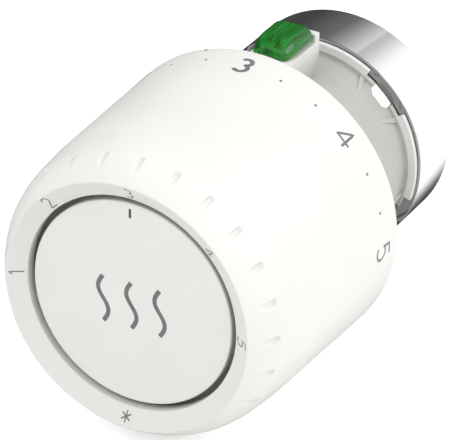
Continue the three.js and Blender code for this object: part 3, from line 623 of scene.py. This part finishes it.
def on_dial(x, y, z, angle):
    """A point on the sloping number ring, with the sign's top outwards."""
    radius = DIAL_SIGN_RADIUS + y
    slope = DIAL_DEPTH / (DIAL_OUTER - DIAL_INNER)
    depth = (DIAL_OUTER - radius) * slope
    return at(radius, depth - z * FILM, angle + DIAL_TURN + math.degrees(x / radius))


def on_side(x, y, z, angle):
    """A point on the knob's side near its rear, with the sign's top to the rear."""
    depth = SIDE_SIGN_DEPTH + y
    radius = side_radius(depth) + z * FILM
    return at(radius, depth, angle + DIAL_TURN + math.degrees(x / radius))


def make_numbers():
    dial_marks = [(sign, DIAL_SIGN_HEIGHT, DIAL_STROKE, angle) for sign, angle in NUMBERS]
    dial = printed("dial_numbers", dial_marks, on_dial)
    dress(dial, print_grey, "knob")
    side_marks = []
    for sign, angle in NUMBERS:
        stroke = BOLD_STROKE if sign == "3" else SIDE_STROKE
        side_marks.append((sign, SIDE_SIGN_HEIGHT, stroke, angle))
    side_marks += [("dot", 1, DOT_STROKE, DOT_STEP * k) for k in range(-6, 7) if k % 3]
    side_marks.append(("edge dash", 1, EDGE_DASH_STROKE, EDGE_DASH_ANGLE))
    side = printed("side_numbers", side_marks, on_side)
    dress(side, print_grey, "knob")


# ---- Dial disc ----

DISC_RADIUS, DISC_FRONT, BOSS_REAR = reach("dial_disc")
DISC_EDGE_REAR = 5.0
DISC_EDGE_INNER = 16.6
DISC_BACK = 3.32
BOSS_OUTER = 12.4
BOSS_INNER = 11.2
INDEX_RADIUS = 15.75
INDEX_LENGTH = 1.55
INDEX_STROKE = 0.42
WAVE_HEIGHT = 8
WAVE_STROKE = 0.75
WAVE_SPACING = 5
WAVE_DROP = 0.4


def on_disc(x, y, z):
    """A point on the disc's front face."""
    return Vector((x * MM, FRONT + (DISC_FRONT - z * FILM) * MM, y * MM))


def make_disc():
    outline = rounded([
        (0, DISC_FRONT, 0),
        (DISC_RADIUS, DISC_FRONT, 0.45),
        (DISC_RADIUS, DISC_EDGE_REAR, 0.1),
        (DISC_EDGE_INNER, DISC_EDGE_REAR, 0.1),
        (DISC_EDGE_INNER, DISC_BACK),
        (BOSS_OUTER, DISC_BACK),
        (BOSS_OUTER, BOSS_REAR, 0.15),
        (BOSS_INNER, BOSS_REAR, 0.15),
        (BOSS_INNER, DISC_BACK),
        (0, DISC_BACK, 0),
    ], 0.2, steps=6)
    disc = turned("dial_cover", outline, columns=240)
    dress(disc, disc_grey, "base", "disc_grey", "dial_disc")


def make_disc_print():
    """The index mark at the top and three heat waves in the middle."""
    tick = printed(
        "index_mark",
        [("tick", INDEX_LENGTH, INDEX_STROKE, 0)],
        lambda x, y, z, across: on_disc(x + across, INDEX_RADIUS + y, z),
    )
    dress(tick, print_dark, "base")
    waves = printed(
        "heat_symbol",
        [("wave", WAVE_HEIGHT, WAVE_STROKE, across) for across in (-WAVE_SPACING, 0, WAVE_SPACING)],
        lambda x, y, z, across: on_disc(x + across, y - WAVE_DROP, z),
    )
    dress(waves, print_grey, "base")


# ---- Base ----

FLANGE_RADIUS, BASE_FRONT, BASE_REAR = reach("mounting_base")
BRACKET_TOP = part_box("mounting_base")[1].z / MM
BASE_RADIUS = 17.0
BASE_BORE = 15.8
BASE_LIP = 1.6
BASE_LIP_RADIUS = 14.4
FLANGE_FRONT = 60.85
FLANGE_REAR = 61.65
GROOVE_FRONT = 63.3
GROOVE_REAR = 64.3
GROOVE_RADIUS = 16.4
WEB_FRONT = 58.6
WEB_REAR = 60.2
WEB_BORE = 5.8
WINDOW_ANGLES = (46, 121, -121, -46)
WINDOW_HALF = 2.1
WINDOW_FRONT = 59.9
WINDOW_REAR = 63.1
WINDOW_CHAMFER = 0.85
WINDOW_LEAN = 1.15
FLANGE_CUT = 13.7  # degrees to each side of a window
FLANGE_CUT_RADIUS = 17.7
CUTTER_RADII = (15.2, 20)


def make_base():
    outline = rounded([
        (BASE_LIP_RADIUS, BASE_FRONT),
        (BASE_RADIUS, BASE_FRONT),
        (BASE_RADIUS, FLANGE_FRONT, 0.25),
        (FLANGE_RADIUS, FLANGE_FRONT, 0.15),
        (FLANGE_RADIUS, FLANGE_REAR, 0.15),
        (BASE_RADIUS, FLANGE_REAR, 0),
        (BASE_RADIUS, GROOVE_FRONT, 0),
        (GROOVE_RADIUS, GROOVE_FRONT, 0),
        (GROOVE_RADIUS, GROOVE_REAR, 0),
        (BASE_RADIUS, GROOVE_REAR, 0),
        (BASE_RADIUS, BASE_REAR, 0),
        (BASE_BORE, BASE_REAR, 0),
        (BASE_BORE, WEB_REAR, 0.3),
        (WEB_BORE, WEB_REAR, 0.15),
        (WEB_BORE, WEB_FRONT, 0.1),
        (BASE_BORE, WEB_FRONT, 0.3),
        (BASE_BORE, BASE_FRONT + BASE_LIP, 0.3),
        (BASE_LIP_RADIUS, BASE_FRONT + BASE_LIP),
    ], 0.2)
    base = turned("base_body", outline, columns=240)
    flat = WINDOW_HALF - WINDOW_CHAMFER
    window = [
        (-flat, WINDOW_FRONT), (flat, WINDOW_FRONT),
        (WINDOW_HALF, WINDOW_FRONT + WINDOW_CHAMFER), (WINDOW_HALF, WINDOW_REAR - WINDOW_CHAMFER),
        (flat, WINDOW_REAR), (-flat, WINDOW_REAR),
        (-WINDOW_HALF, WINDOW_REAR - WINDOW_CHAMFER), (-WINDOW_HALF, WINDOW_FRONT + WINDOW_CHAMFER),
    ]
    cutters = []
    for angle in WINDOW_ANGLES:
        cutters.append(prism("window", window, *CUTTER_RADII, angle, lean=WINDOW_LEAN))
        cutters.append(bent_bar("flange_cut", FLANGE_CUT_RADIUS, CUTTER_RADII[1], angle - FLANGE_CUT,
                                angle + FLANGE_CUT, FLANGE_FRONT - 0.5, FLANGE_REAR + 0.5))
    with_cuts(base, cutters)
    dress(base, base_grey, "base", "base_grey", "mounting_base")


RIB_LENGTH = 3.4
RIB_WIDTH = 0.9
RIB_HEIGHT = 0.55
RIB_FOOT_HEIGHT = 0.05
RIB_LEAN = 1.6
RIB_SUNK = 0.3
RIB_OVERLAP = 0.2


def make_flange_ribs():
    """A rib at each end of the flange's parts, falling to the wall as it runs forward beside a window."""
    vertices = []
    faces = []
    inner = BASE_RADIUS - RIB_SUNK
    foot_depth = FLANGE_FRONT - RIB_LENGTH
    top_depth = FLANGE_FRONT + RIB_OVERLAP
    for window in WINDOW_ANGLES:
        for side in (-1, 1):
            end = window + side * FLANGE_CUT
            across = math.degrees(RIB_WIDTH / BASE_RADIUS) * side
            lean = math.degrees(RIB_LEAN / BASE_RADIUS) * side
            base = len(vertices)
            for angle in (end, end + across):
                vertices.append(at(inner, foot_depth, angle - lean))
                vertices.append(at(inner, top_depth, angle))
                vertices.append(at(BASE_RADIUS + RIB_HEIGHT, top_depth, angle))
                vertices.append(at(BASE_RADIUS + RIB_FOOT_HEIGHT, foot_depth, angle - lean))
            faces += [tuple(base + k for k in face) for face in block_faces(4)]
    ribs = new_piece("flange_ribs", vertices, faces)
    with_cuts(ribs, [], bevel=0.1)
    dress(ribs, base_grey, "base", "base_grey")


# ---- Bracket and lens ----

LENS_HALF_WIDTH, LENS_FRONT, LENS_REAR = reach("index_lens")
LENS_BOTTOM = 22.95
LENS_HEIGHT = 2.6
LENS_CORNER = 2.0
LENS_CORNER_STEPS = 12
LENS_NARROWING = 1.6
LENS_NOSE = 4.4
LENS_NOSE_POWER = 2.2
LENS_NOSE_STEPS = 18
LENS_TIP = 0.12
LENS_REAR_EDGE = 0.35
LENS_REAR_STEPS = 4
LENS_RIB_HEIGHT = 0.35
BRACKET_HALF = 3.95
BRACKET_FRONT = 43.2
BRACKET_FOOT = 16.6
BRACKET_SEAT = LENS_BOTTOM - 0.3
BRACKET_WALL_FRONT = LENS_REAR + 0.3
BRACKET_REAR = 55.4


def make_bracket():
    side = [
        (BRACKET_FRONT, BRACKET_FOOT), (BRACKET_REAR - 2.0, BRACKET_FOOT), (BRACKET_REAR, BRACKET_FOOT + 4.0),
        (BRACKET_REAR, BRACKET_TOP), (BRACKET_WALL_FRONT, BRACKET_TOP), (BRACKET_WALL_FRONT, BRACKET_SEAT),
        (BRACKET_FRONT, BRACKET_SEAT),
    ]
    vertices = []
    for x in (-BRACKET_HALF, BRACKET_HALF):
        for depth, height in side:
            vertices.append(Vector((x * MM, FRONT + depth * MM, height * MM)))
    bracket = new_piece("index_bracket", vertices, block_faces(len(side)))
    with_cuts(bracket, [], bevel=0.22)
    dress(bracket, bracket_white, "base", "base_grey")


def lens_section(fullness):
    """The lens's section as (across, height): a low tunnel with rounded shoulders and ribs underneath."""
    half = LENS_HALF_WIDTH - LENS_NARROWING * (1 - fullness)
    height = LENS_HEIGHT * fullness
    corner = min(LENS_CORNER, 0.95 * height)
    section = []
    for side, first in ((1, 0), (-1, 90)):
        for step in range(LENS_CORNER_STEPS + 1):
            turn = math.radians(first + 90 * step / LENS_CORNER_STEPS)
            across = side * (half - corner) + corner * math.cos(turn)
            section.append((across, height - corner + corner * math.sin(turn)))
    for step in range(1, 8):
        groove = LENS_RIB_HEIGHT * fullness if step % 2 == 0 else 0.0
        section.append((half * (step / 4 - 1), groove))
    return section


def make_lens():
    stations = []
    for i in range(1, LENS_NOSE_STEPS + 1):
        along = (i / LENS_NOSE_STEPS) ** 2
        rise = (1 - (1 - along) ** LENS_NOSE_POWER) ** (1 / LENS_NOSE_POWER)
        stations.append((LENS_FRONT + LENS_NOSE * along, LENS_TIP + (1 - LENS_TIP) * rise))
    stations.append((LENS_REAR - LENS_REAR_EDGE, 1.0))
    for i in range(1, LENS_REAR_STEPS + 1):
        turn = math.pi / 2 * i / LENS_REAR_STEPS
        stations.append((LENS_REAR - LENS_REAR_EDGE * (1 - math.sin(turn)), 1 - 0.1 * (1 - math.cos(turn))))
    vertices = []
    for depth, fullness in stations:
        for across, height in lens_section(fullness):
            vertices.append(Vector((across * MM, FRONT + depth * MM, (LENS_BOTTOM + height) * MM)))
    faces = block_faces(len(vertices) // len(stations), len(stations))
    lens = new_piece("index_window", vertices, faces, sharp_angle=38)
    dress(lens, lens_green, "base", "green_lens", "index_lens")


# ---- Collar and nut ----

COLLAR_FRONT = 61.85
COLLAR_LIP_RADIUS = 17.3
COLLAR_LIP_REAR = 63.1
COLLAR_BORE = 18.0


def make_collar():
    outline = rounded([
        (COLLAR_LIP_RADIUS, COLLAR_FRONT, 0.15),
        (COLLAR_RADIUS, COLLAR_FRONT, 0.12),
        (COLLAR_RADIUS, HEAD_LENGTH, 0.35),
        (COLLAR_BORE, HEAD_LENGTH, 0.2),
        (COLLAR_BORE, COLLAR_LIP_REAR, 0.1),
        (COLLAR_LIP_RADIUS, COLLAR_LIP_REAR, 0.1),
    ], 0.2, steps=6)
    collar = turned("collar_shell", outline, columns=300)
    dress(collar, chrome, "collar", "chrome", "chrome_collar")


NUT_RADIUS, NUT_FRONT, NUT_REAR = reach("union_nut")
NUT_BORE = 14.2
NUT_EDGE = 0.2
NUT_CHAMFER = 0.9
THREAD_PITCH = 1.5
THREAD_DEPTH = 0.8
THREAD_FLAT = 1.25
THREAD_FLANK = 2.9
THREAD_ROWS = 72


def threaded(radius, depth, angle):
    """The nut's bore with its thread: a ridge that turns once round in each pitch."""
    if radius > NUT_BORE + 0.01:
        return radius
    phase = (depth / THREAD_PITCH - angle / 360) % 1
    return radius + THREAD_DEPTH * min(1, max(0, THREAD_FLAT - abs(phase - 0.5) * THREAD_FLANK))


def make_nut():
    front = NUT_FRONT + NUT_CHAMFER
    rear = NUT_REAR - NUT_CHAMFER
    bore = [(NUT_BORE, rear + (front - rear) * i / THREAD_ROWS) for i in range(THREAD_ROWS + 1)]
    mouth = NUT_BORE + NUT_CHAMFER + 0.05
    outline = [
        (mouth, NUT_FRONT), (NUT_RADIUS - NUT_EDGE, NUT_FRONT), (NUT_RADIUS, NUT_FRONT + NUT_EDGE),
        (NUT_RADIUS, NUT_REAR - NUT_EDGE), (NUT_RADIUS - NUT_EDGE, NUT_REAR), (mouth, NUT_REAR),
    ] + bore
    nut = turned("threaded_nut", outline, columns=160, shape=threaded, sharp_angle=30)
    dress(nut, brass, "collar", "brass", "union_nut")


# ---- Small parts seen from behind ----

PLATE_RADIUS, PLATE_FRONT, PLATE_REAR = reach("limiter_ring")
PLATE_BORE = 17.3
PIN_CIRCLE = 21.3
PIN_HOLE_RADIUS = 1.25
PIN_HOLES_PER_SIDE = 6
STOP_ANGLE = 142
PIN_HOLE_STEP = 22.5


def make_limiter_ring():
    outline = rounded([
        (PLATE_BORE, PLATE_FRONT),
        (PLATE_RADIUS, PLATE_FRONT),
        (PLATE_RADIUS, PLATE_REAR),
        (PLATE_BORE, PLATE_REAR),
    ], 0.2)
    plate = turned("limiter_plate", outline, columns=200)
    holes = []
    for side in (-1, 1):
        for i in range(PIN_HOLES_PER_SIDE):
            angle = side * (STOP_ANGLE - PIN_HOLE_STEP * i)
            holes.append(peg("hole", PIN_HOLE_RADIUS, PLATE_FRONT - 0.9, PLATE_REAR + 0.7, PIN_CIRCLE, angle))
    with_cuts(plate, holes)
    dress(plate, base_grey, "base", "base_grey", "limiter_ring")


_, PIN_FRONT, PIN_REAR = reach("limiter_pin_min")
PIN_RADIUS = 1.1
PIN_POINT = 0.8
PIN_HEAD_RADIUS = 1.8
PIN_HEAD_FRONT = 40.6
PIN_SLOT_HALF = 0.25
PIN_SLOT_DEPTH = 0.7
PIN_SLOT_RADII = (18, 24.5)


def make_limiter_pin(name, body, node, angle):
    outline = [
        (0, PIN_FRONT), (PIN_POINT, PIN_FRONT), (PIN_RADIUS, PIN_FRONT + 0.4),
        (PIN_RADIUS, PIN_HEAD_FRONT - 0.05), (PIN_HEAD_RADIUS - 0.05, PIN_HEAD_FRONT),
        (PIN_HEAD_RADIUS, PIN_HEAD_FRONT + 0.15), (PIN_HEAD_RADIUS, PIN_REAR - 0.3),
        (PIN_HEAD_RADIUS - 0.2, PIN_REAR - 0.02), (PIN_HEAD_RADIUS - 0.8, PIN_REAR), (0, PIN_REAR),
    ]
    centre = at(PIN_CIRCLE, 0, angle) - at(0, 0, 0)
    pin = turned(name, outline, columns=48)
    pin.data.transform(Matrix.Translation(centre))
    bottom = PIN_REAR - PIN_SLOT_DEPTH
    top = PIN_REAR + PIN_SLOT_DEPTH
    half = PIN_SLOT_HALF
    slot_outline = [(-half, bottom), (half, bottom), (half, top), (-half, top)]
    slot = prism("slot", slot_outline, *PIN_SLOT_RADII, angle)
    with_cuts(pin, [slot], bevel=0.06)
    dress(pin, pin_grey, body, "pin_grey", node)


TAPPET_HEAD_RADIUS, TAPPET_FRONT, TAPPET_TIP = reach("thrust_pin")
TAPPET_RADIUS = 2.4
TAPPET_HEAD = 1.3
TAPPET_TAPER = 0.7


def make_thrust_pin():
    outline = rounded([
        (0, TAPPET_FRONT, 0),
        (TAPPET_HEAD_RADIUS, TAPPET_FRONT),
        (TAPPET_HEAD_RADIUS, TAPPET_FRONT + TAPPET_HEAD),
        (TAPPET_RADIUS, TAPPET_FRONT + TAPPET_HEAD + TAPPET_TAPER),
        (TAPPET_RADIUS, TAPPET_TIP, 0.35),
        (0, TAPPET_TIP, 0),
    ], 0.15)
    pin = turned("tappet_pin", outline, columns=96)
    dress(pin, spring_steel, "tappet", "spring_steel", "thrust_pin")


BUSH_FLANGE_RADIUS, BUSH_FRONT, BUSH_REAR = reach("pin_guide")
BUSH_FLANGE = 0.7
BUSH_RADIUS = 5.5
BUSH_BORE = 2.6


def make_pin_guide():
    outline = rounded([
        (BUSH_BORE, BUSH_FRONT),
        (BUSH_FLANGE_RADIUS, BUSH_FRONT),
        (BUSH_FLANGE_RADIUS, BUSH_FRONT + BUSH_FLANGE),
        (BUSH_RADIUS, BUSH_FRONT + BUSH_FLANGE),
        (BUSH_RADIUS, BUSH_REAR, 0.2),
        (BUSH_BORE, BUSH_REAR, 0.3),
    ], 0.08)
    guide = turned("tappet_bush", outline, columns=120)
    dress(guide, acetal, "base", "acetal", "pin_guide")


make_knob()
make_numbers()
make_disc()
make_disc_print()
make_base()
make_flange_ribs()
make_bracket()
make_lens()
make_collar()
make_nut()
make_limiter_ring()
make_limiter_pin("frost_stop_pin", "min_pin", "limiter_pin_min", STOP_ANGLE)
make_limiter_pin("open_stop_pin", "max_pin", "limiter_pin_max", -STOP_ANGLE)
make_thrust_pin()
make_pin_guide()

# CAD nodes that stay as they are and get their finish here.
KEPT = {
    "knob_drive_sleeve": inner_white,
    "knob_snap_ring": spring_steel,
    "knob_bearing_ring": acetal,
    "guide_cage": inner_white,
    "sensor_carrier": acetal,
    "sensor_capsule": aluminium,
    "sensor_bellows": bronze,
    "push_rod": brass,
    "spring_cup": acetal,
    "spring_cup_retainer": spring_steel,
    "overtravel_spring": spring_steel,
    "return_spring": spring_steel,
    "spring_seat": spring_steel,
    "collar_retaining_ring": spring_steel,
}
for node, look in KEPT.items():
    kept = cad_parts[node]
    kept.data.materials.clear()
    kept.data.materials.append(look)


# ---- Floor, light and camera ----

FLOOR_SIZE = 3.0  # metres from the middle to each side
FLOOR_GAP = 0.05  # millimetres under the knob
FLOOR_GLOW = 0.45


def make_floor():
    size = FLOOR_SIZE
    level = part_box("control_knob")[0].z - FLOOR_GAP * MM
    corners = [(-size, -size, level), (size, -size, level), (size, size, level), (-size, size, level)]
    mesh = bpy.data.meshes.new("floor")
    mesh.from_pydata(corners, [], [(0, 1, 2, 3)])
    floor = bpy.data.objects.new("floor", mesh)
    bpy.context.scene.collection.objects.link(floor)
    look = material("floor", (0.93, 0.93, 0.93), 0.6, tint=0.004, cloud_size=80)
    seen = look.node_tree.nodes.new("ShaderNodeLightPath")
    shader = look.node_tree.nodes["Principled BSDF"]
    shader.inputs["Emission Color"].default_value = (FLOOR_GLOW, FLOOR_GLOW, FLOOR_GLOW, 1)
    look.node_tree.links.new(seen.outputs["Is Camera Ray"], shader.inputs["Emission Strength"])
    floor.data.materials.append(look)
    floor.visible_glossy = False


LIGHT_TARGET = (0, -0.03, 0)


def make_light(name, place, size, power):
    """A square softbox facing the head, in metres and watts."""
    data = bpy.data.lights.new(name, "AREA")
    data.shape = "SQUARE"
    data.size = size
    data.energy = power
    light = bpy.data.objects.new(name, data)
    bpy.context.scene.collection.objects.link(light)
    light.location = place
    light.rotation_euler = (Vector(LIGHT_TARGET) - Vector(place)).to_track_quat("-Z", "Y").to_euler()
    return light


# Brightness of the studio's walls round the head's axis, by angle clockwise from straight up.
STUDIO_WALLS = (
    (-180, 0.34), (-171, 0.15), (-158, 0.07), (-75, 0.06), (-60, 0.085), (-31, 0.16),
    (-21, 0.28), (-11, 0.46), (2.5, 0.74), (3.5, 0.57), (10, 0.62), (19, 0.83),
    (28, 1.06), (40, 1.25), (158, 1.25), (169, 0.8), (180, 0.34),
)
BACKDROP = 1.05
ROOM_LIGHT = 0.655
ROOM_TILT = (-0.2, -0.05, 0.16)  # how much brighter the room is to the left, in front and above


def make_world():
    """White to the camera, a soft room on matt surfaces, and darker walls to one side in polished ones."""
    world = bpy.data.worlds.new("studio")
    bpy.context.scene.world = world
    world.use_nodes = True
    nodes = world.node_tree.nodes
    links = world.node_tree.links
    room = nodes["Background"]
    room.inputs["Color"].default_value = (1, 1, 1, 1)
    backdrop = nodes.new("ShaderNodeBackground")
    backdrop.inputs["Color"].default_value = (1, 1, 1, 1)
    backdrop.inputs["Strength"].default_value = BACKDROP
    walls = nodes.new("ShaderNodeBackground")
    direction = nodes.new("ShaderNodeTexCoord")
    tilt = nodes.new("ShaderNodeVectorMath")
    tilt.operation = "DOT_PRODUCT"
    tilt.inputs[1].default_value = ROOM_TILT
    strength = nodes.new("ShaderNodeMath")
    strength.operation = "MULTIPLY_ADD"
    strength.inputs[1].default_value = ROOM_LIGHT
    strength.inputs[2].default_value = ROOM_LIGHT
    parts = nodes.new("ShaderNodeSeparateXYZ")
    angle = nodes.new("ShaderNodeMath")
    angle.operation = "ARCTAN2"
    turn = nodes.new("ShaderNodeMapRange")
    turn.inputs["From Min"].default_value = -math.pi
    turn.inputs["From Max"].default_value = math.pi
    ramp = nodes.new("ShaderNodeValToRGB")
    stops = ramp.color_ramp.elements
    while len(stops) < len(STUDIO_WALLS):
        stops.new(0.5)
    for stop, (degrees, value) in zip(stops, STUDIO_WALLS):
        stop.position = (degrees + 180) / 360
    for stop, (degrees, value) in zip(stops, STUDIO_WALLS):
        stop.color = (value, value, value, 1)
    path = nodes.new("ShaderNodeLightPath")
    polished = nodes.new("ShaderNodeMixShader")
    seen = nodes.new("ShaderNodeMixShader")
    links.new(direction.outputs["Generated"], tilt.inputs[0])
    links.new(tilt.outputs["Value"], strength.inputs[0])
    links.new(strength.outputs["Value"], room.inputs["Strength"])
    links.new(direction.outputs["Generated"], parts.inputs["Vector"])
    links.new(parts.outputs["X"], angle.inputs[0])
    links.new(parts.outputs["Z"], angle.inputs[1])
    links.new(angle.outputs["Value"], turn.inputs["Value"])
    links.new(turn.outputs["Result"], ramp.inputs["Fac"])
    links.new(ramp.outputs["Color"], walls.inputs["Color"])
    links.new(path.outputs["Is Glossy Ray"], polished.inputs["Fac"])
    links.new(room.outputs["Background"], polished.inputs[1])
    links.new(walls.outputs["Background"], polished.inputs[2])
    links.new(path.outputs["Is Camera Ray"], seen.inputs["Fac"])
    links.new(polished.outputs["Shader"], seen.inputs[1])
    links.new(backdrop.outputs["Background"], seen.inputs[2])
    links.new(seen.outputs["Shader"], nodes["World Output"].inputs["Surface"])


CAMERA_AZIMUTH = 29.26
CAMERA_ELEVATION = 29.47
CAMERA_DISTANCE = 0.563
CAMERA_LENS = 278.8
CAMERA_AIM = (-2.6, 0, -2.95)  # from the middle of the head's box


def make_camera():
    turn = math.radians(CAMERA_AZIMUTH)
    rise = math.radians(CAMERA_ELEVATION)
    towards = Vector((-math.sin(turn) * math.cos(rise), math.cos(turn) * math.cos(rise), -math.sin(rise)))
    middle = (Vector(cad_box[0]) + Vector(cad_box[1])) / 2
    aim = middle + Vector(CAMERA_AIM) * MM
    data = bpy.data.cameras.new("camera")
    data.lens = CAMERA_LENS
    data.sensor_width = 36
    data.clip_start = 0.01
    data.clip_end = 20
    camera = bpy.data.objects.new("camera", data)
    bpy.context.scene.collection.objects.link(camera)
    camera.location = aim - towards * CAMERA_DISTANCE
    camera.rotation_euler = towards.to_track_quat("-Z", "Y").to_euler()
    bpy.context.scene.camera = camera


make_floor()
make_world()
make_light("side_softbox", (0.7, 0.12, 0.6), 0.5, 3.0)
front_softbox = make_light("front_softbox", (-0.25, -0.6, 0.8), 0.4, 2.1)
front_softbox.visible_glossy = False
make_camera()
bpy.context.scene.view_settings.view_transform = "Standard"
